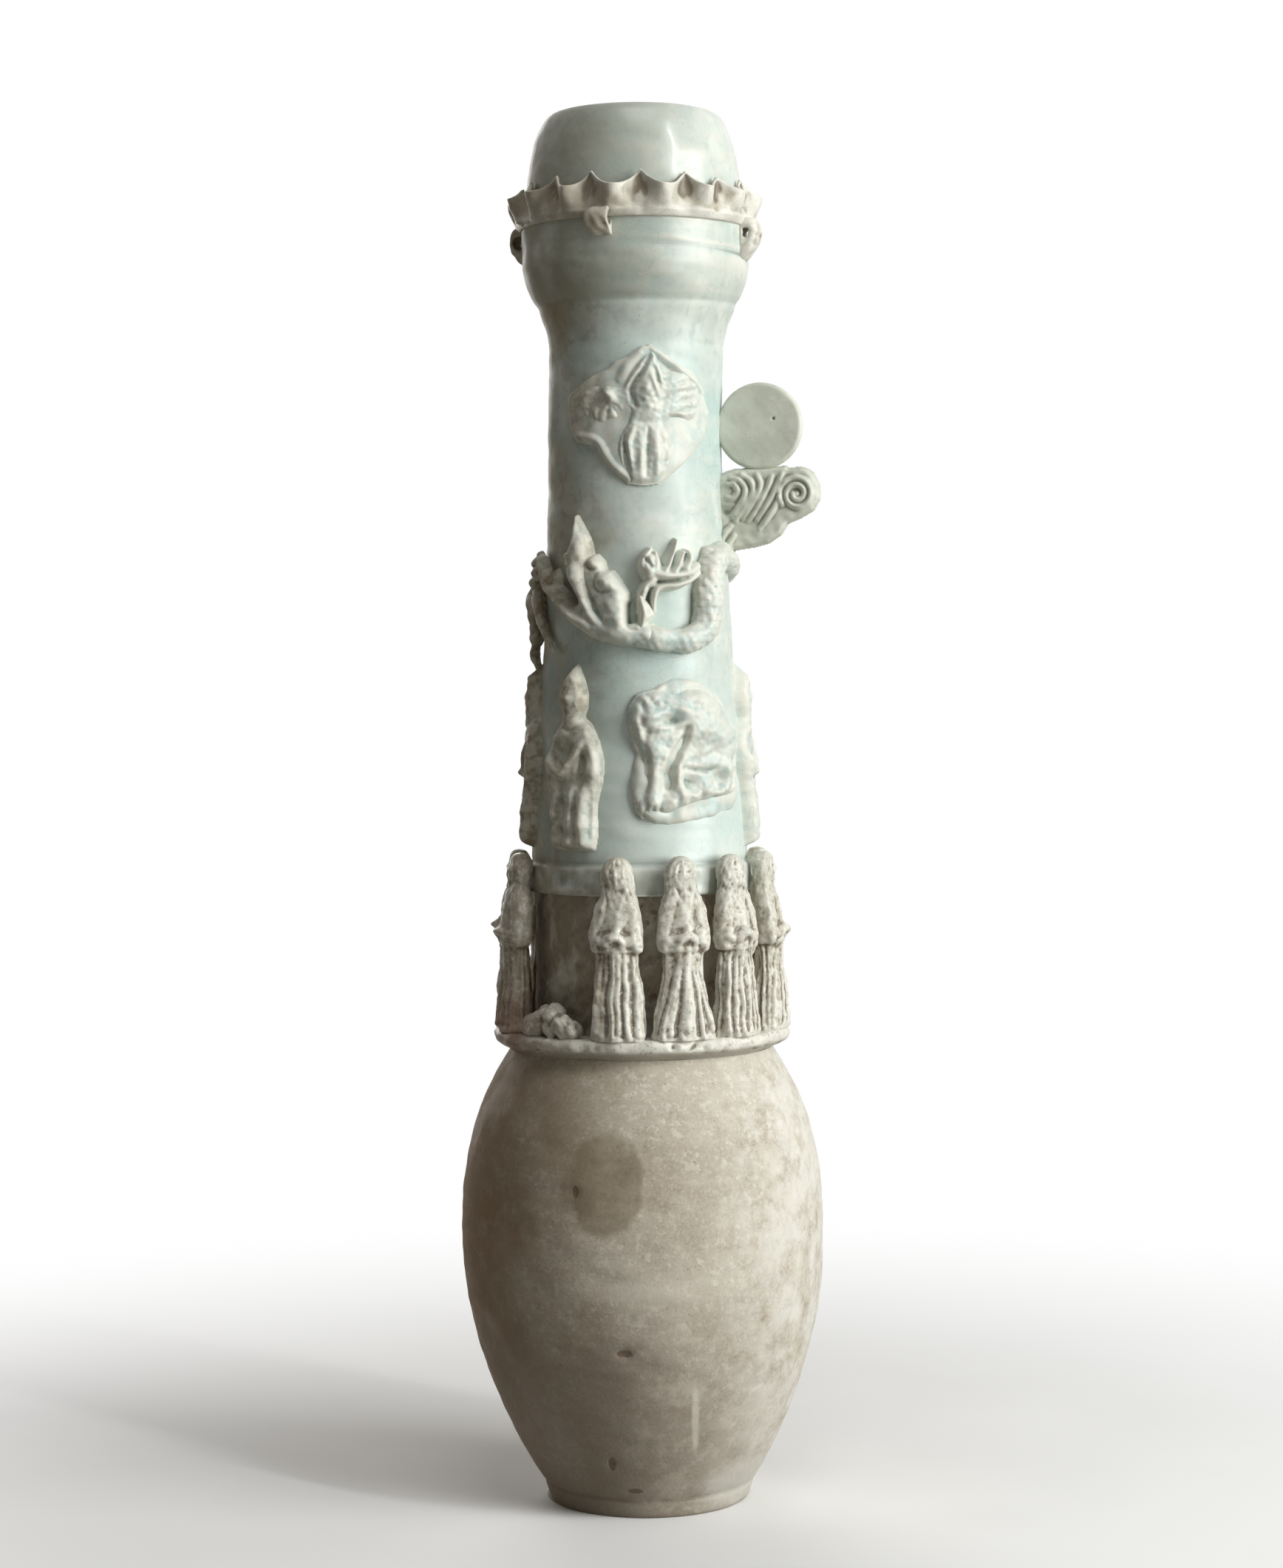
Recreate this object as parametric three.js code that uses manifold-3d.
// A tall glazed funerary urn in the Song manner: a thrown ovoid jar, a ledge of standing
// attendants, a long neck with applied dragon, phoenix, beast and sun, and a frilled mouth.
// Every thrown section, modelled figure and applied ornament is its own solid, as the potter
// made it before luting it in place. Millimetres, +Z up, origin at the middle of the foot.
// Angles are in degrees from the front (-Y) towards +X.

import * as THREE from "three";
import { mergeVertices } from "three/addons/utils/BufferGeometryUtils.js";
import Module from "manifold-3d";

const wasm = await Module();
wasm.setup();

// Thrown jar
const FOOT_RADIUS = 47;
const FOOT_FLARE = 2.3;
const FOOT_HEIGHT = 8;
const FOOT_RIM_WIDTH = 9;
const BASE_RECESS = 2.5;
const BASE_THICKNESS = 7;
const BELLY_RADIUS = 84.5;
const BELLY_HEIGHT = 128;
const BELLY_FULLNESS = 2.1;
const SHOULDER_RADIUS = 61;
const SHOULDER_HEIGHT = 210;
const SHOULDER_FULLNESS = 2.2;
const JAR_WALL = 6;

// Ledge and the drum behind the attendants
const LEDGE_RADIUS = 68.5;
const LEDGE_THICKNESS = 9.5;
const LEDGE_EDGE = 4.5;
const LEDGE_ROUNDING = 2;
const DRUM_RADIUS = 49;
const DRUM_WALL = 4.5;

// Neck
const SKIRT_OVERHANG = 3.5;
const SKIRT_HEIGHT = 13.5;
const NECK_FOOT_RADIUS = 50.8;
const NECK_TOP_RADIUS = 40.4;
const NECK_TAPER_HEIGHT = 192;
const NECK_TAPER_CURVE = 1.4;
const NECK_STRAIGHT_HEIGHT = 43.5;
const NECK_SEAM_HEIGHT = 110;
const NECK_WALL = 4.5;

// Mouth
const BOWL_RADIUS = 52.2;
const BOWL_FLARE_HEIGHT = 40;
const BOWL_BAND_HEIGHT = 18;
const BOWL_WALL = 5;
const BOWL_SEAM_RISE = 12;
const COLLAR_RADIUS = 50.2;
const COLLAR_HEIGHT = 50;
const LIP_RADIUS = 37;
const COLLAR_WALL = 3.6;

// Frilled flange and lugs
const FRILL_WAVES = 16;
const FRILL_ROOT_WIDTH = 5;
const FRILL_VALLEY_HEIGHT = 11;
const FRILL_PEAK_RISE = 7.5;
const FRILL_LEAN = 1.4;
const FRILL_PETAL_BOW = 2.6;
const FRILL_EDGE = 1.6;
const FRILL_PHASE = 3;
const LUG_COUNT = 4;
const LUG_FIRST_ANGLE = -17.5;
const LUG_REACH = 7.4;
const LUG_HEIGHT = 18;
const LUG_WIDTH = 9;
const LUG_HOLE_RADIUS = 2;

// Attendants on the ledge
const ATTENDANT_ANGLES = [-10, 18, 45, 78, 108, 138, 168, 198, 228, 258, 289];
const STUMP_ANGLE = 320;
const ATTENDANT_HEIGHT = 82;
const ATTENDANT_HEAD_LAP = 18.5;
const ATTENDANT_HALF_WIDTH = 10.8;
const ATTENDANT_HALF_DEPTH = 5.6;
const ATTENDANT_EDGE_MARGIN = 1.4;
const PLEAT_DEPTH = 0.9;
const SKIRT_SPLAY = 0.5;

// Figures in the relief band
const BAND_FIGURE_ANGLES = [-88, -36, 88, 134, 180, 226];
const BAND_FIGURE_RISE = 20;
const BAND_FIGURE_HEIGHT = 83;
const BAND_FIGURE_HALF_WIDTH = 12.5;
const BAND_FIGURE_HALF_DEPTH = 5.5;

// Beast on its rock
const BEAST_ANGLE = 31;
const BEAST_RISE = 34;
const BEAST_ROCK_WIDTH = 58;
const ROCK_THICKNESS = 1.8;

// Dragon, coiled round the neck
const DRAGON_CLEARANCE = 18;
const DRAGON_RADIUS = 6.2;

// Phoenix on its pointed plaque
const PLAQUE_ANGLE = 2;
const PLAQUE_HEIGHT = 61.5;
const PLAQUE_HALF_WIDTH = 31;
const PLAQUE_RISE = 186;
const PLAQUE_THICKNESS = 1.8;

// Sun disc on its cloud
const SUN_ANGLE = 77;
const SUN_RADIUS = 20;
const SUN_REACH = 58.5;
const SUN_RISE = 213;
const SUN_THICKNESS = 4.5;
const CLOUD_THICKNESS = 7;
const CLOUD_ROLL_RADIUS = 10;
const CLOUD_DROP = 40;

// Fineness and the gap that lets applied pieces seat without touching
const ROUND_STEPS = 28;
const CURVE_STEPS = 5;
const FRILL_STEPS_PER_WAVE = 4;
const SEAT_GAP = 0.3;
const SMOOTHING = 0.15;
const WELD = 1e-3;

// Heights above the foot that the sizes above add up to
const ledgeTop = SHOULDER_HEIGHT + LEDGE_THICKNESS;
const neckBottom = ledgeTop + ATTENDANT_HEIGHT - ATTENDANT_HEAD_LAP;
const skirtTop = neckBottom + SKIRT_HEIGHT;
const neckSeam = neckBottom + NECK_SEAM_HEIGHT;
const taperTop = skirtTop + NECK_TAPER_HEIGHT;
const flareBottom = taperTop + NECK_STRAIGHT_HEIGHT;
const bowlSeam = flareBottom + BOWL_SEAM_RISE;
const flareTop = flareBottom + BOWL_FLARE_HEIGHT;
const bowlTop = flareTop + BOWL_BAND_HEIGHT;
const mouthTop = bowlTop + COLLAR_HEIGHT;

const GLAZE = new THREE.MeshStandardMaterial({ color: 0xc9d3cb, roughness: 0.22, metalness: 0 });
const BISCUIT = new THREE.MeshStandardMaterial({ color: 0xa59a88, roughness: 0.85, metalness: 0 });
const WORN = new THREE.MeshStandardMaterial({ color: 0xbab5a6, roughness: 0.6, metalness: 0 });

const urn = new THREE.Group();
const radians = THREE.MathUtils.degToRad;
const point = (radius, height) => new THREE.Vector2(radius, height);

function add(name, geometry, material) {
  const mesh = new THREE.Mesh(geometry, material);
  mesh.name = name;
  urn.add(mesh);
}

// A closed geometry as a solid that can be joined and cut.
function solid(geometry) {
  const bare = geometry.clone();
  bare.deleteAttribute("normal");
  bare.deleteAttribute("uv");
  const merged = mergeVertices(bare, WELD);
  return new wasm.Manifold(
    new wasm.Mesh({
      numProp: 3,
      vertProperties: merged.attributes.position.array,
      triVerts: new Uint32Array(merged.index.array),
    }),
  );
}

function geometryOf(shape) {
  const mesh = shape.simplify(SMOOTHING).getMesh();
  const geometry = new THREE.BufferGeometry();
  geometry.setAttribute("position", new THREE.BufferAttribute(mesh.vertProperties, 3));
  geometry.setIndex(new THREE.BufferAttribute(mesh.triVerts, 1));
  geometry.computeVertexNormals();
  return geometry;
}

function joined(shapes) {
  return shapes.reduce((whole, shape) => whole.add(shape));
}

// A closed profile of (radius, height) points turned about the axis.
function turned(profile) {
  const geometry = new THREE.LatheGeometry(profile, ROUND_STEPS);
  geometry.rotateX(Math.PI / 2);
  return geometry;
}

function ring(profile) {
  return turned([...profile, profile[0].clone()]);
}

// The skin through a stack of rings of points, closed at both ends.
function loft(rings) {
  const around = rings[0].length;
  const positions = rings.flat().flatMap((p) => [p.x, p.y, p.z]);
  const faces = [];
  for (let i = 0; i + 1 < rings.length; i++) {
    for (let j = 0; j < around; j++) {
      const a = i * around + j;
      const b = i * around + ((j + 1) % around);
      faces.push(a, b, b + around, a, b + around, a + around);
    }
  }
  const ends = [
    [0, false],
    [rings.length - 1, true],
  ];
  for (const [level, isLast] of ends) {
    const middle = new THREE.Vector3();
    rings[level].forEach((p) => middle.addScaledVector(p, 1 / around));
    const tip = positions.length / 3;
    positions.push(middle.x, middle.y, middle.z);
    for (let j = 0; j < around; j++) {
      const a = level * around + j;
      const b = level * around + ((j + 1) % around);
      faces.push(tip, ...(isLast ? [a, b] : [b, a]));
    }
  }
  const geometry = new THREE.BufferGeometry();
  geometry.setAttribute("position", new THREE.Float32BufferAttribute(positions, 3));
  geometry.setIndex(faces);
  return geometry;
}

// The outer outline of the urn, from the foot to the lip

function jarRadius(z) {
  const footTopRadius = FOOT_RADIUS + FOOT_FLARE;
  if (z <= FOOT_HEIGHT) return FOOT_RADIUS + (FOOT_FLARE * z) / FOOT_HEIGHT;
  if (z <= BELLY_HEIGHT) {
    const below = (BELLY_HEIGHT - z) / (BELLY_HEIGHT - FOOT_HEIGHT);
    return BELLY_RADIUS - (BELLY_RADIUS - footTopRadius) * below ** BELLY_FULLNESS;
  }
  const above = (z - BELLY_HEIGHT) / (SHOULDER_HEIGHT - BELLY_HEIGHT);
  return BELLY_RADIUS - (BELLY_RADIUS - SHOULDER_RADIUS) * above ** SHOULDER_FULLNESS;
}

function bowlRadius(z) {
  const share = THREE.MathUtils.clamp((z - flareBottom) / BOWL_FLARE_HEIGHT, 0, 1);
  return NECK_TOP_RADIUS + ((BOWL_RADIUS - NECK_TOP_RADIUS) * (1 - Math.cos(Math.PI * share))) / 2;
}

function neckRadius(z) {
  if (z < skirtTop) return NECK_FOOT_RADIUS;
  const share = Math.min(1, (z - skirtTop) / NECK_TAPER_HEIGHT);
  if (z > flareBottom) return bowlRadius(z);
  return NECK_TOP_RADIUS + (NECK_FOOT_RADIUS - NECK_TOP_RADIUS) * (1 - share) ** NECK_TAPER_CURVE;
}

function collarRadius(z) {
  const share = (z - bowlTop) / COLLAR_HEIGHT;
  return LIP_RADIUS + (COLLAR_RADIUS - LIP_RADIUS) * Math.sqrt(1 - share * share);
}

// Points of an outline between two heights, moved inwards by a wall where one is given.
function outline(radiusAt, from, to, steps, wall = 0) {
  const points = [];
  for (let i = 0; i <= steps; i++) {
    const z = from + ((to - from) * i) / steps;
    points.push(point(radiusAt(z) - wall, z));
  }
  return points;
}

const skirtRadius = DRUM_RADIUS + SKIRT_OVERHANG;
const neckOuter = [
  point(skirtRadius, neckBottom),
  point(skirtRadius, skirtTop - LEDGE_ROUNDING),
  ...outline(neckRadius, skirtTop, neckSeam, 2),
  ...outline(neckRadius, neckSeam, taperTop, 2).slice(1),
  ...outline(bowlRadius, flareBottom, flareTop, CURVE_STEPS),
  point(BOWL_RADIUS, bowlTop),
];

// The neck filled solid and grown by a distance: what an applied piece is cut back to.
function neckCore(grown) {
  const outer = neckOuter.map((p) => point(p.x + grown, p.y));
  return solid(
    turned([
      point(0, SHOULDER_HEIGHT),
      point(DRUM_RADIUS + grown, SHOULDER_HEIGHT),
      point(DRUM_RADIUS + grown, neckBottom - grown),
      point(outer[0].x, neckBottom - grown),
      ...outer,
      point(0, bowlTop),
    ]),
  );
}

const seat = neckCore(SEAT_GAP);
const plaqueSeat = neckCore(PLAQUE_THICKNESS + 2 * SEAT_GAP);
const rockSeat = neckCore(ROCK_THICKNESS + 2 * SEAT_GAP);

// A shape made facing the front, turned to its angle and cut back to the faceted neck there.
function seated(shape, angle) {
  return geometryOf(shape.rotate([0, 0, angle]).subtract(seat));
}

// Thrown sections, each butted on the one below at a flat joint

function jarBaseSection() {
  const floor = BASE_RECESS + BASE_THICKNESS;
  const rimInner = FOOT_RADIUS - FOOT_RIM_WIDTH;
  return turned([
    point(0, BASE_RECESS),
    point(rimInner - BASE_RECESS, BASE_RECESS),
    point(rimInner, 0),
    point(FOOT_RADIUS, 0),
    ...outline(jarRadius, FOOT_HEIGHT, BELLY_HEIGHT, CURVE_STEPS),
    ...outline(jarRadius, BELLY_HEIGHT, floor + JAR_WALL, 3, JAR_WALL),
    point(FOOT_RADIUS - JAR_WALL, floor),
    point(0, floor),
  ]);
}

function jarShoulderSection() {
  const throat = DRUM_RADIUS - DRUM_WALL;
  return ring([
    ...outline(jarRadius, BELLY_HEIGHT, SHOULDER_HEIGHT, CURVE_STEPS),
    point(throat, SHOULDER_HEIGHT),
    ...outline(jarRadius, SHOULDER_HEIGHT - JAR_WALL, BELLY_HEIGHT, 3, JAR_WALL),
  ]);
}

function figureLedge() {
  const bore = DRUM_RADIUS + SEAT_GAP;
  const edgeBottom = ledgeTop - LEDGE_EDGE;
  return ring([
    point(bore, SHOULDER_HEIGHT),
    point(SHOULDER_RADIUS, SHOULDER_HEIGHT),
    point(LEDGE_RADIUS - LEDGE_ROUNDING / 2, edgeBottom - LEDGE_ROUNDING),
    point(LEDGE_RADIUS, edgeBottom),
    point(LEDGE_RADIUS, ledgeTop - LEDGE_ROUNDING),
    point(LEDGE_RADIUS - LEDGE_ROUNDING, ledgeTop),
    point(bore, ledgeTop),
  ]);
}

function neckDrum() {
  return ring([
    point(DRUM_RADIUS - DRUM_WALL, SHOULDER_HEIGHT),
    point(DRUM_RADIUS, SHOULDER_HEIGHT),
    point(DRUM_RADIUS, neckBottom),
    point(DRUM_RADIUS - DRUM_WALL, neckBottom),
  ]);
}

function neckLowerSection() {
  return ring([
    point(skirtRadius, neckBottom),
    point(skirtRadius, skirtTop - LEDGE_ROUNDING),
    ...outline(neckRadius, skirtTop, neckSeam, 2),
    ...outline(neckRadius, neckSeam, skirtTop, 1, NECK_WALL),
    point(DRUM_RADIUS - DRUM_WALL, neckBottom),
  ]);
}

function neckUpperSection() {
  return ring([
    ...outline(neckRadius, neckSeam, taperTop, 2),
    ...outline(bowlRadius, flareBottom, bowlSeam, 2),
    ...outline(bowlRadius, bowlSeam, flareBottom, 1, NECK_WALL),
    ...outline(neckRadius, taperTop, neckSeam, 1, NECK_WALL),
  ]);
}

function mouthBowl() {
  return ring([
    ...outline(bowlRadius, bowlSeam, flareTop, CURVE_STEPS - 1),
    point(BOWL_RADIUS, bowlTop),
    point(COLLAR_RADIUS - COLLAR_WALL, bowlTop),
    ...outline(bowlRadius, flareTop - BOWL_WALL, bowlSeam, 2, BOWL_WALL).slice(0, -1),
    point(bowlRadius(bowlSeam) - NECK_WALL, bowlSeam),
  ]);
}

// The collar rounds inwards to a flat lip, which a cover would stand on.
function mouthCollar() {
  const outer = [];
  for (let i = 0; i < CURVE_STEPS; i++) {
    const z = bowlTop + COLLAR_HEIGHT * Math.sin(((Math.PI / 2) * i) / (CURVE_STEPS - 1));
    outer.push(point(collarRadius(z), z));
  }
  const inner = outer.map((p) => point(p.x - COLLAR_WALL, p.y)).reverse();
  return ring([...outer, ...inner]);
}

// Frilled flange: an upright strip pinched inwards into sharp peaks, with a bowed petal between two
function frilledFlange() {
  const rootInner = COLLAR_RADIUS + SEAT_GAP;
  const rootOuter = rootInner + FRILL_ROOT_WIDTH;
  const steps = FRILL_WAVES * FRILL_STEPS_PER_WAVE;
  const rings = [];
  for (let i = 0; i < steps; i++) {
    const angle = (2 * Math.PI * i) / steps + radians(FRILL_PHASE);
    const peak = 1 - Math.abs(Math.sin((FRILL_WAVES * Math.PI * i) / steps));
    const bow = FRILL_PETAL_BOW * (1 - peak);
    const edgeRadius = rootOuter + FRILL_LEAN + bow;
    const edgeHeight = bowlTop + FRILL_VALLEY_HEIGHT + FRILL_PEAK_RISE * peak;
    const waist = rootOuter + (FRILL_LEAN + bow) * 0.6;
    const section = [
      point(rootInner, bowlTop),
      point(rootOuter, bowlTop),
      point(waist, bowlTop + FRILL_VALLEY_HEIGHT / 2),
      point(edgeRadius, edgeHeight - FRILL_EDGE / 2),
      point(edgeRadius - FRILL_EDGE, edgeHeight),
      point(rootInner + FRILL_EDGE, bowlTop + FRILL_VALLEY_HEIGHT / 2),
    ];
    rings.push(section.map((p) => place(angle, p.x, p.y)));
  }
  return closedSweep(rings);
}

// The skin through rings of points that run round and meet the first again.
function closedSweep(rings) {
  const around = rings[0].length;
  const positions = rings.flat().flatMap((p) => [p.x, p.y, p.z]);
  const faces = [];
  rings.forEach((_, i) => {
    const next = ((i + 1) % rings.length) * around;
    for (let j = 0; j < around; j++) {
      const a = i * around + j;
      const b = i * around + ((j + 1) % around);
      const c = next + ((j + 1) % around);
      const d = next + j;
      faces.push(a, d, c, a, c, b);
    }
  });
  const geometry = new THREE.BufferGeometry();
  geometry.setAttribute("position", new THREE.Float32BufferAttribute(positions, 3));
  geometry.setIndex(faces);
  return geometry;
}

// The point at an angle from the front, a distance from the axis and a height.
function place(angle, radius, z) {
  return new THREE.Vector3(Math.sin(angle) * radius, -Math.cos(angle) * radius, z);
}

// Tie lug: an ear with a round hole, hung under the flange
function tieLug(angle) {
  const top = bowlTop - SEAT_GAP;
  const root = BOWL_RADIUS - BOWL_WALL / 2;
  const tip = BOWL_RADIUS + LUG_REACH;
  const ear = new THREE.Shape();
  ear.moveTo(root, top - LUG_HEIGHT);
  ear.lineTo(root, top);
  ear.lineTo(tip - LUG_HOLE_RADIUS, top);
  ear.quadraticCurveTo(tip, top, tip, top - LUG_HEIGHT * 0.3);
  ear.quadraticCurveTo(tip, top - LUG_HEIGHT * 0.75, root, top - LUG_HEIGHT);
  const strap = new THREE.ExtrudeGeometry(ear, {
    depth: LUG_WIDTH,
    bevelEnabled: false,
    curveSegments: 5,
  });
  strap.translate(0, 0, -LUG_WIDTH / 2);
  strap.rotateX(Math.PI / 2);
  strap.rotateZ(-Math.PI / 2);
  const hole = new THREE.CylinderGeometry(LUG_HOLE_RADIUS, LUG_HOLE_RADIUS, LUG_WIDTH * 2, 12);
  hole.rotateZ(Math.PI / 2);
  hole.translate(0, SEAT_GAP - BOWL_RADIUS - LUG_HOLE_RADIUS * 1.5, top - LUG_HEIGHT * 0.36);
  return seated(solid(strap).subtract(solid(hole)), angle);
}

// Modelled figures: a stack of oval rings, pleated below the sleeves

// Each level: share of the height, of the half width and of the half depth, how far it leans
// towards the neck, and how deep the pleats run there.
const ROBE_LEVELS = [
  { rise: 0, wide: 1, deep: 1, lean: 0, pleat: 1 },
  { rise: 0.44, wide: 0.8, deep: 0.9, lean: 0.28, pleat: 0.5 },
  { rise: 0.5, wide: 1.24, deep: 1.08, lean: 0.36, pleat: 0.15 },
  { rise: 0.56, wide: 1.12, deep: 1.16, lean: 0.42, pleat: 0 },
  { rise: 0.79, wide: 0.72, deep: 0.84, lean: 0.78, pleat: 0 },
  { rise: 0.83, wide: 0.6, deep: 0.82, lean: 0.85, pleat: 0 },
  { rise: 0.9, wide: 0.64, deep: 0.96, lean: 0.94, pleat: 0 },
  { rise: 0.97, wide: 0.42, deep: 0.66, lean: 1, pleat: 0 },
  { rise: 1, wide: 0.12, deep: 0.2, lean: 1, pleat: 0 },
];
const ROBE_SIDES = 10;

function robedFigure({ height, halfWidth, halfDepth, footZ, footRadius, headRadius, splay, hasFace }) {
  const rings = ROBE_LEVELS.map((level) => {
    const centre = footRadius + (headRadius - footRadius) * level.lean;
    const z = footZ + height * level.rise;
    const spread = level.rise < 0.45 ? 1 + splay * (0.45 - level.rise) : 1;
    return Array.from({ length: ROBE_SIDES }, (_, j) => {
      const turn = (2 * Math.PI * j) / ROBE_SIDES;
      const fold = (j % 2 ? -1 : 1) * PLEAT_DEPTH * level.pleat;
      return new THREE.Vector3(
        Math.cos(turn) * (halfWidth * level.wide * spread + fold),
        -centre + Math.sin(turn) * (halfDepth * level.deep + fold),
        z,
      );
    });
  });
  const handZ = footZ + height * 0.58;
  const handRadius = footRadius + (headRadius - footRadius) * 0.44 + halfDepth;
  const hands = blob(halfWidth * 0.5, halfDepth * 0.55, height * 0.05);
  hands.translate(0, -handRadius, handZ);
  const pieces = [loft(rings), hands];
  if (hasFace) {
    const face = blob(halfWidth * 0.44, halfDepth * 0.5, height * 0.062);
    face.translate(0, -headRadius - halfDepth * 0.62, footZ + height * 0.885);
    pieces.push(face);
  }
  return joined(pieces.map(solid));
}

function blob(x, y, z) {
  const geometry = new THREE.SphereGeometry(1, 6, 4);
  geometry.rotateX(Math.PI / 2);
  geometry.scale(x, y, z);
  return geometry;
}

function attendant(angle, splay) {
  const figure = robedFigure({
    height: ATTENDANT_HEIGHT,
    halfWidth: ATTENDANT_HALF_WIDTH,
    halfDepth: ATTENDANT_HALF_DEPTH,
    footZ: ledgeTop,
    footRadius: LEDGE_RADIUS - ATTENDANT_EDGE_MARGIN - ATTENDANT_HALF_DEPTH,
    headRadius: skirtRadius + ATTENDANT_HALF_DEPTH * 0.9,
    splay,
    hasFace: false,
  });
  return seated(figure, angle);
}

// What is left where an attendant has broken off: a ragged heap of robe hem and clay
function brokenStump() {
  const footRadius = LEDGE_RADIUS - ATTENDANT_EDGE_MARGIN - ATTENDANT_HALF_DEPTH;
  const lumps = [
    { x: -9, out: 1, wide: 5, tall: 11 },
    { x: -2, out: -0.5, wide: 6, tall: 15 },
    { x: 5, out: 0.5, wide: 6, tall: 12 },
    { x: 11, out: 0, wide: 4.5, tall: 7 },
  ];
  const shapes = lumps.map(({ x, out, wide, tall }) => {
    const lump = blob(wide, ATTENDANT_HALF_DEPTH, tall);
    lump.translate(x, -footRadius - out * 0.6, ledgeTop);
    return solid(lump);
  });
  const above = new THREE.BoxGeometry(60, 60, ATTENDANT_HEIGHT);
  above.translate(0, -footRadius, ledgeTop + ATTENDANT_HEIGHT / 2);
  return seated(joined(shapes).intersect(solid(above)), STUMP_ANGLE);
}

function bandFigure(angle) {
  const footZ = neckBottom + BAND_FIGURE_RISE;
  const figure = robedFigure({
    height: BAND_FIGURE_HEIGHT,
    halfWidth: BAND_FIGURE_HALF_WIDTH,
    halfDepth: BAND_FIGURE_HALF_DEPTH,
    footZ,
    footRadius: neckRadius(footZ),
    headRadius: neckRadius(footZ + BAND_FIGURE_HEIGHT),
    splay: 0,
    hasFace: true,
  });
  return seated(figure, angle);
}

// A tapering roll of clay laid over the neck. Stops give its angle, height, distance of its
// middle from the neck wall and radius; steps is how many rings run between two stops.
function roll({ base, unit }, stops, { sides = 6, steps = 2, grown = 0 } = {}) {
  const sized = stops.map(([angle, up, out, radius]) => [angle, base + up * unit, out * unit, radius * unit]);
  const samples = stopsAlong(sized, steps);
  const centres = samples.map((s) => place(radians(s.angle), neckRadius(s.z) + s.out, s.z));
  const rings = samples.map((s, i) => {
    const ahead = centres[Math.min(i + 1, centres.length - 1)];
    const behind = centres[Math.max(i - 1, 0)];
    const along = ahead.clone().sub(behind).normalize();
    const outward = place(radians(s.angle), 1, 0);
    outward.addScaledVector(along, -outward.dot(along)).normalize();
    const across = outward.clone().cross(along);
    return Array.from({ length: sides }, (_, j) => {
      const turn = (2 * Math.PI * j) / sides;
      return centres[i]
        .clone()
        .addScaledVector(across, Math.cos(turn) * (s.radius + grown))
        .addScaledVector(outward, Math.sin(turn) * (s.radius + grown));
    });
  });
  return solid(loft(rings));
}

function stopsAlong(stops, steps) {
  const path = new THREE.CatmullRomCurve3(stops.map(([angle, z, out]) => new THREE.Vector3(angle, z, out)));
  const girth = new THREE.SplineCurve(stops.map(([, , , radius], i) => point(i, radius)));
  const count = (stops.length - 1) * steps;
  return Array.from({ length: count + 1 }, (_, i) => {
    const p = path.getPoint(i / count);
    return { angle: p.x, z: p.y, out: p.z, radius: Math.max(0.3, girth.getPoint(i / count).y) };
  });
}

// A rounded pellet set on the neck: half sizes across, outwards and up.
function pellet({ base, unit }, [angle, up, out], halfSizes, { tilt = 0, grown = 0 } = {}) {
  const geometry = blob(...halfSizes.map((half) => half * unit + grown));
  const z = base + up * unit;
  geometry.rotateY(radians(tilt));
  geometry.translate(0, -(neckRadius(z) + out * unit), z);
  geometry.rotateZ(radians(angle));
  return solid(geometry);
}

// The stops of each applied creature are drawn in millimetres up from its own base line, for the
// size given here, and are resized with it.
function drawnAt(base, size, drawnSize) {
  return { base, unit: size / drawnSize };
}

// Dragon: its base line is its belly across the front, above the hoods of the band figures
const dragonBase = neckBottom + BAND_FIGURE_RISE + BAND_FIGURE_HEIGHT + DRAGON_CLEARANCE;
const dragonDrawnRadius = 6.2;
const onDragon = drawnAt(dragonBase, DRAGON_RADIUS, dragonDrawnRadius);
const dragonSeam = 4.6;

function dragonBodyRoll(grown) {
  const r = dragonDrawnRadius;
  return roll(
    onDragon,
    [
      [dragonSeam + 0.5, -1, r * 0.6, r],
      [22, -4, r * 0.6, r * 0.98],
      [38, 1, r * 0.55, r * 1.05],
      [47, 13, r * 0.4, r * 1.12],
      [58, 26, r * 0.15, r * 1.06],
      [84, 29, 0, r * 0.85],
      [118, 27, r * 0.35, r * 0.92],
      [160, 20, r * 0.55, r * 0.95],
      [200, 18, r * 0.55, r * 0.9],
      [240, 27, r * 0.55, r * 0.8],
      [268, 22, r * 0.5, r * 0.62],
      [286, 4, r * 0.4, r * 0.4],
      [304, -12, r * 0.3, r * 0.12],
    ],
    { grown },
  );
}

function dragonHeadShape(grown) {
  const r = dragonDrawnRadius;
  const cranium = roll(
    onDragon,
    [
      [-35, 13, 4.5, 5.5],
      [-26, 18, 6, 8.4],
      [-15, 16.5, 7, 7],
      [-7, 12.5, 7.5, 4.8],
      [-3.5, 11.5, 7.5, 3.8],
    ],
    { grown },
  );
  const jowl = roll(
    onDragon,
    [
      [-46, 8, 3, 3.4],
      [-35, 4, 4.6, 6.5],
      [-22, 1, 5, 7.6],
      [-8, -1, 4.4, r],
      [dragonSeam, -1, 3.7, r],
    ],
    { grown },
  );
  const brows = [
    pellet(onDragon, [-26, 27, 8.5], [3, 3, 3], { grown }),
    pellet(onDragon, [-19, 19, 12.5], [3, 3, 3], { grown }),
  ];
  const nose = pellet(onDragon, [-4.5, 14, 11], [3, 2.4, 2.6], { grown });
  return joined([cranium, jowl, ...brows, nose]);
}

// The rest of the dragon is cut back from its head and body, with the gap that pieces seat with.
const dragonTrunk = dragonHeadShape(SEAT_GAP).add(dragonBodyRoll(SEAT_GAP)).add(seat);

function dragonBody() {
  return geometryOf(dragonBodyRoll(0).subtract(dragonHeadShape(SEAT_GAP)).subtract(seat));
}

function dragonHead() {
  return geometryOf(dragonHeadShape(0).subtract(seat));
}

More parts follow.
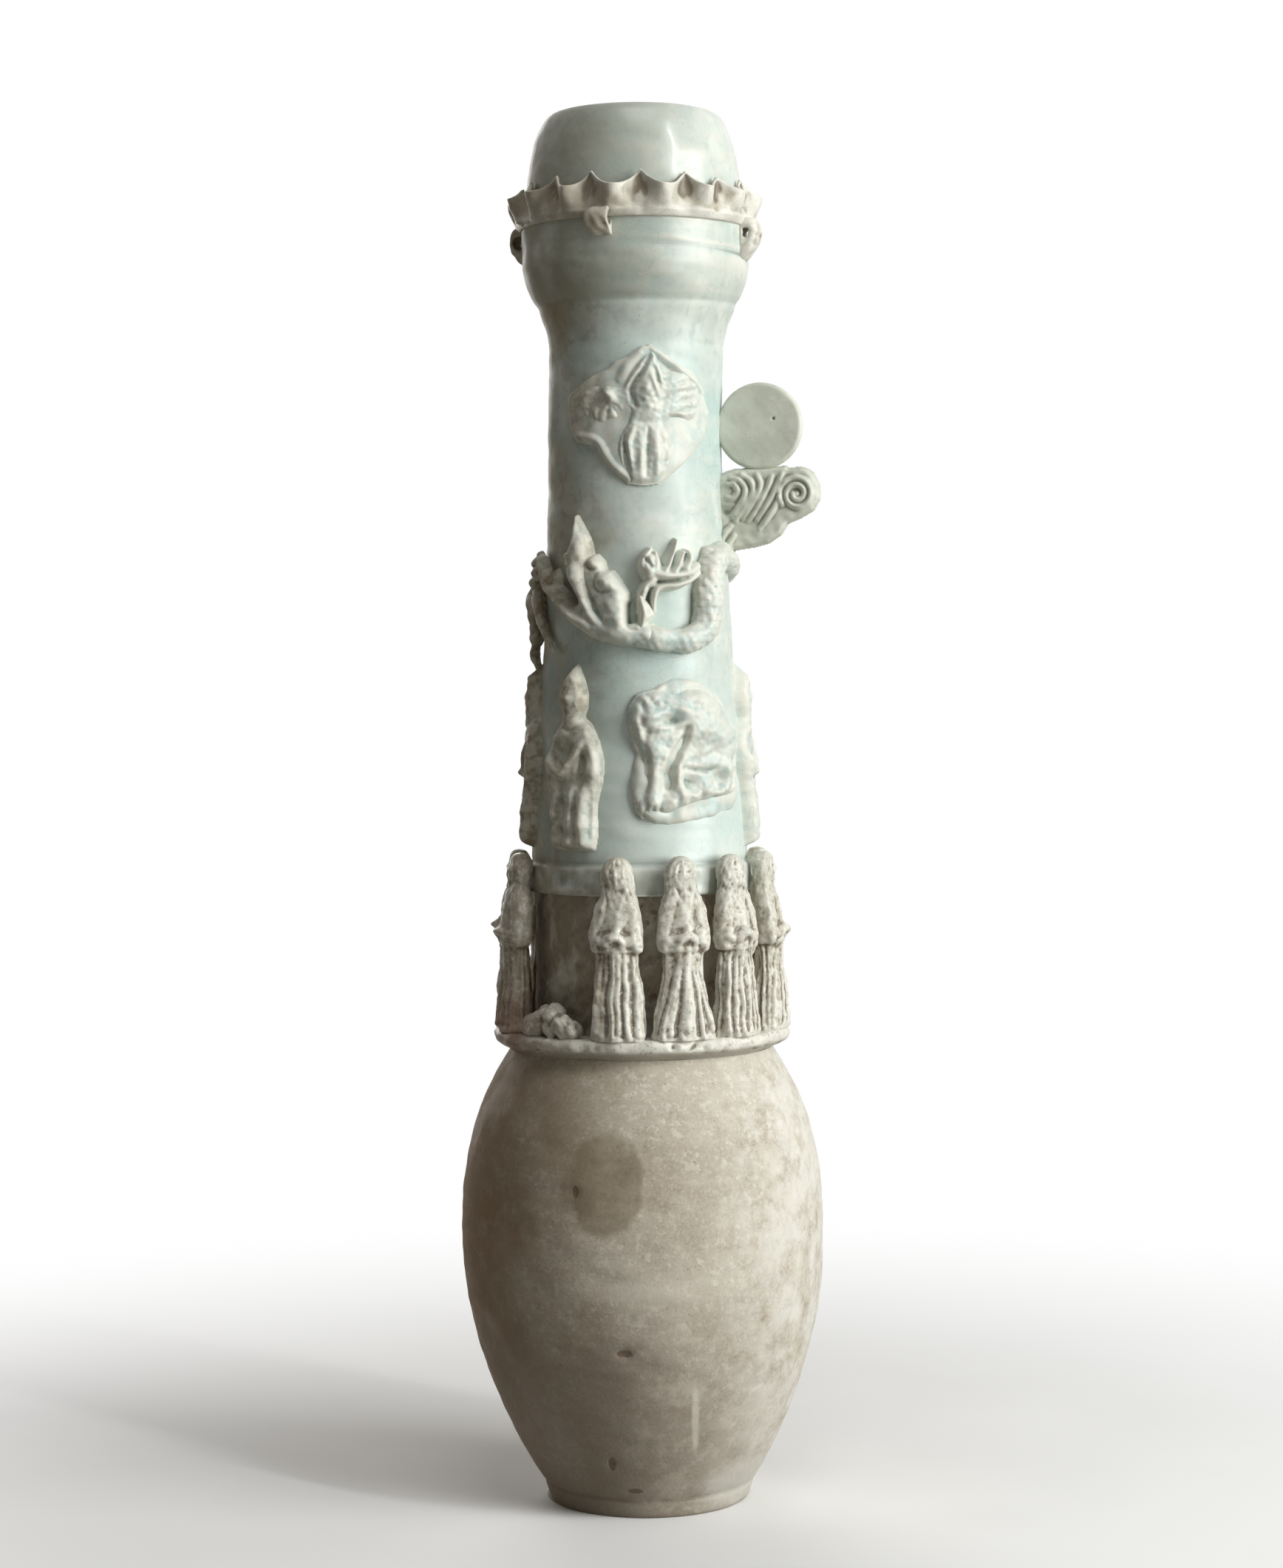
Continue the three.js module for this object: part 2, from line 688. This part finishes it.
function dragonHornUpright() {
  const horn = roll(
    onDragon,
    [
      [-33, 20, 7, 3],
      [-38, 31, 7.5, 3.6],
      [-39, 42, 6.5, 2.2],
      [-38, 51, 4.5, 0.5],
    ],
    { sides: 6 },
  );
  return geometryOf(horn.subtract(dragonTrunk));
}

function dragonHornSwept() {
  const horn = roll(
    onDragon,
    [
      [-48, 14, 3.5, 3],
      [-56, 20, 4.5, 3.1],
      [-64, 27, 4, 2.4],
      [-71, 35, 3, 0.8],
    ],
    { sides: 6 },
  );
  return geometryOf(horn.subtract(dragonTrunk));
}

// A leg rolled out of clay, with a bar of knuckles and claws that point on past it
function dragonLeg(limb, claws) {
  const fine = { sides: 5, steps: 1 };
  return geometryOf(joined([roll(onDragon, limb, fine), ...claws.map((claw) => roll(onDragon, claw, fine))]).subtract(dragonTrunk));
}

function dragonForeleg() {
  const limb = [
    [3, 4, 6, 3],
    [3, 12, 7, 2.9],
    [7, 18, 6, 2.9],
    [19, 20, 6, 2.5],
    [34, 19, 5, 2.2],
  ];
  const claws = [
    [5, 18, 8, 34],
    [14, 20, 23, 39],
    [23, 20, 29, 34],
    [31, 19, 33, 30],
  ].map(([fromAngle, fromZ, toAngle, toZ]) => [
    [fromAngle, fromZ, 5.5, 2.2],
    [(fromAngle + toAngle) / 2 + 1.5, (fromZ + toZ) / 2, 6.5, 1.8],
    [toAngle, toZ, 4, 0.5],
  ]);
  return dragonLeg(limb, claws);
}

function dragonHindLeg() {
  const limb = [
    [-104, 14, 2.5, 4.6],
    [-98, 2, 3.5, 3.6],
    [-92, -8, 3.5, 2.6],
  ];
  const claws = [-100, -92, -84].map((angle) => [
    [-92, -7, 3, 2.2],
    [(angle - 92) / 2, -13, 3.5, 1.7],
    [angle, -19, 1.5, 0.5],
  ]);
  return dragonLeg(limb, claws);
}

// Phoenix plaque: a thin pointed shield, wrapped on the neck
const plaqueBottom = neckBottom + PLAQUE_RISE;

// The plaque's edge as shares of its half width and height, going round from the lower right.
const PLAQUE_EDGE = [
  [0.2, 0],
  [0.58, 0.1],
  [0.89, 0.23],
  [0.97, 0.5],
  [0.86, 0.8],
  [0.5, 0.91],
  [0.12, 1],
  [-0.32, 0.92],
  [-0.84, 0.8],
  [-1.17, 0.7],
  [-1.19, 0.5],
  [-1.08, 0.32],
  [-0.68, 0.27],
  [-0.45, 0.1],
  [-0.16, 0],
];

// A thin plate of clay pressed on the neck, with its edge given across and up from its middle.
function wrappedPlate(edge, angle, middleZ, thickness, shrinks = [1, 0.92, 0.66, 0.33]) {
  const skin = (share, out) =>
    edge.map(([across, up]) => {
      const z = middleZ + up * share;
      const radius = neckRadius(z) + out;
      return place((across * share) / neckRadius(z), radius, z);
    });
  const back = [...shrinks].reverse().map((share) => skin(share, -thickness));
  const front = shrinks.map((share, i) => skin(share, SEAT_GAP + thickness * (i === 0 ? 0.4 : 1)));
  const geometry = loft([...back, ...front]);
  geometry.rotateZ(radians(angle));
  return geometry;
}

function phoenixPlaque() {
  const middle = plaqueBottom + PLAQUE_HEIGHT / 2;
  const edge = PLAQUE_EDGE.map(([x, y]) => [x * PLAQUE_HALF_WIDTH, (y - 0.5) * PLAQUE_HEIGHT]);
  return geometryOf(solid(wrappedPlate(edge, PLAQUE_ANGLE, middle, PLAQUE_THICKNESS)).subtract(seat));
}

function phoenix() {
  const on = drawnAt(plaqueBottom, PLAQUE_HEIGHT, 61.5);
  const a = PLAQUE_ANGLE + 3;
  const crest = roll(
    on,
    [
      [a, 61, 1.5, 1.2],
      [a - 1, 52, 4, 4.4],
      [a - 1, 42, 5, 5],
      [a - 1, 33, 4.5, 4.2],
      [a - 1, 22, 4, 5.2],
      [a - 1, 8, 3, 6],
      [a - 1, 2, 2, 4],
    ],
    { sides: 7 },
  );
  const wings = [-1, 1].map((side) =>
    roll(
      on,
      [
        [a + side * 4, 29, 4, 3.8],
        [a + side * 16, 28, 4.5, 4.2],
        [a + side * 26, 36, 4.5, 3.4],
        [a + side * 31, 44, 3, 1.4],
      ],
      { sides: 5, steps: 1 },
    ),
  );
  const tails = [-1, 1].map((side) =>
    roll(
      on,
      [
        [a + side * 6, 24, 3, 2.6],
        [a + side * 12, 14, 3.2, 3],
        [a + side * 9, 3, 2.4, 2],
      ],
      { sides: 5, steps: 1 },
    ),
  );
  const head = pellet(on, [a - 1, 46, 9], [3.2, 2.4, 4]);
  return geometryOf(joined([crest, ...wings, ...tails, head]).subtract(plaqueSeat));
}

// Beast on its rock
const onBeast = drawnAt(neckBottom + BEAST_RISE, BEAST_ROCK_WIDTH, 58);

function beastRock() {
  const edge = [
    [24, 4],
    [29, 12],
    [27, 34],
    [22, 52],
    [8, 62],
    [-8, 64],
    [-20, 56],
    [-27, 44],
    [-24, 30],
    [-29, 18],
    [-27, 4],
    [-16, -2],
    [4, 0],
  ].map(([x, y]) => [x * onBeast.unit, (y - 30) * onBeast.unit]);
  const middle = onBeast.base + 30 * onBeast.unit;
  return geometryOf(solid(wrappedPlate(edge, BEAST_ANGLE, middle, ROCK_THICKNESS)).subtract(seat));
}

function beast() {
  const a = BEAST_ANGLE;
  const back = roll(
    onBeast,
    [
      [a - 12, 48, 4.5, 4.5],
      [a - 4, 42, 5.5, 6.5],
      [a + 8, 34, 5, 6.8],
      [a + 20, 29, 4.5, 6.6],
      [a + 28, 23, 3.5, 4],
    ],
    { sides: 7 },
  );
  const head = pellet(onBeast, [a - 15, 42, 7], [6.5, 4, 5.2], { tilt: -12 });
  const mane = pellet(onBeast, [a - 8, 50, 5], [8.5, 4, 7]);
  const legs = [
    [-8, 30, -14, 12],
    [-2, 28, -2, 10],
    [20, 24, 14, 10],
    [26, 24, 28, 12],
  ].map(([fromAngle, fromZ, toAngle, toZ]) =>
    roll(
      onBeast,
      [
        [a + fromAngle, fromZ, 4, 3.4],
        [a + (fromAngle + toAngle) / 2 + 1, (fromZ + toZ) / 2, 4, 2.6],
        [a + toAngle, toZ, 4, 2.4],
      ],
      { sides: 5, steps: 1 },
    ),
  );
  const tail = roll(
    onBeast,
    [
      [a + 27, 30, 4, 2.4],
      [a + 33, 40, 3.5, 2.2],
      [a + 29, 50, 3, 1],
    ],
    { sides: 6 },
  );
  const rocks = [-15, 1, 18].map((across, i) => pellet(onBeast, [a + across, 5 + (i % 2) * 2, 2.5], [10, 3.4, 6]));
  return geometryOf(joined([back, head, mane, ...legs, tail, ...rocks]).subtract(rockSeat));
}

// Sun disc and the cloud that carries it, both standing out from the neck in one upright plane
const sunZ = neckBottom + SUN_RISE;

// An outline in the plane through the axis, as (distance from the axis, height), given a thickness.
function uprightPlate(shape, thickness, curveSegments) {
  const geometry = new THREE.ExtrudeGeometry(shape, {
    depth: thickness - 2,
    bevelEnabled: true,
    bevelThickness: 1,
    bevelSize: 1,
    bevelOffset: -1,
    bevelSegments: 1,
    curveSegments,
  });
  geometry.translate(0, 0, 1 - thickness / 2);
  geometry.rotateX(Math.PI / 2);
  return solid(geometry);
}

function sunDisc() {
  const shape = new THREE.Shape();
  shape.absarc(SUN_REACH, sunZ, SUN_RADIUS, 0, 2 * Math.PI);
  return seated(uprightPlate(shape, SUN_THICKNESS, 16), SUN_ANGLE - 90);
}

function cloudBracket() {
  const top = sunZ - SUN_RADIUS;
  const rollRadius = CLOUD_ROLL_RADIUS;
  const outerRoll = new THREE.Vector2(SUN_REACH + SUN_RADIUS * 0.86, top - rollRadius - 2);
  const root = NECK_TOP_RADIUS - NECK_WALL;
  const shape = new THREE.Shape();
  shape.moveTo(root, top - CLOUD_DROP);
  shape.lineTo(root + 10, top - CLOUD_DROP);
  shape.quadraticCurveTo(outerRoll.x - 12, top - CLOUD_DROP + 6, outerRoll.x - 4, outerRoll.y - rollRadius);
  shape.absarc(outerRoll.x, outerRoll.y, rollRadius, -Math.PI * 0.6, Math.PI * 0.75);
  shape.lineTo(SUN_REACH + SUN_RADIUS * 0.4, top + 3);
  shape.lineTo(root, top + 3);
  const plate = uprightPlate(shape, CLOUD_THICKNESS, 8);
  const rolls = [outerRoll, new THREE.Vector2(root + 14, top - rollRadius - 1)].map((centre) => {
    const drum = new THREE.CylinderGeometry(rollRadius * 0.72, rollRadius * 0.86, CLOUD_THICKNESS + 3, 14);
    drum.translate(centre.x, 0, 0);
    drum.translate(0, 0, centre.y);
    return solid(drum);
  });
  const clearance = new THREE.CylinderGeometry(
    SUN_RADIUS + SEAT_GAP,
    SUN_RADIUS + SEAT_GAP,
    CLOUD_THICKNESS * 3,
    40,
  );
  clearance.translate(SUN_REACH, 0, sunZ);
  const upright = joined([plate, ...rolls]).subtract(solid(clearance));
  return geometryOf(upright.rotate([0, 0, SUN_ANGLE - 90]).subtract(dragonTrunk));
}

add("jar_base_section", jarBaseSection(), BISCUIT);
add("jar_shoulder_section", jarShoulderSection(), BISCUIT);
add("figure_ledge", figureLedge(), WORN);
add("neck_drum", neckDrum(), BISCUIT);
add("neck_lower_section", neckLowerSection(), GLAZE);
add("neck_upper_section", neckUpperSection(), GLAZE);
add("mouth_bowl", mouthBowl(), GLAZE);
add("mouth_collar", mouthCollar(), GLAZE);
add("frilled_flange", frilledFlange(), WORN);

for (let i = 0; i < LUG_COUNT; i++) {
  add(`tie_lug_${i + 1}`, tieLug(LUG_FIRST_ANGLE + (360 / LUG_COUNT) * i), WORN);
}

// Every other attendant's skirt is spread, as they alternate on the ledge
ATTENDANT_ANGLES.forEach((angle, i) => {
  add(`attendant_${i + 1}`, attendant(angle, i % 2 ? SKIRT_SPLAY : 0), WORN);
});
add("broken_attendant_stump", brokenStump(), WORN);

BAND_FIGURE_ANGLES.forEach((angle, i) => add(`band_figure_${i + 1}`, bandFigure(angle), GLAZE));

add("beast_rock", beastRock(), GLAZE);
add("beast", beast(), GLAZE);
add("dragon_body", dragonBody(), GLAZE);
add("dragon_head", dragonHead(), GLAZE);
add("dragon_horn_upright", dragonHornUpright(), GLAZE);
add("dragon_horn_swept", dragonHornSwept(), GLAZE);
add("dragon_foreleg", dragonForeleg(), GLAZE);
add("dragon_hind_leg", dragonHindLeg(), GLAZE);
add("phoenix_plaque", phoenixPlaque(), GLAZE);
add("phoenix", phoenix(), GLAZE);
add("sun_disc", sunDisc(), WORN);
add("cloud_bracket", cloudBracket(), WORN);

export default urn;
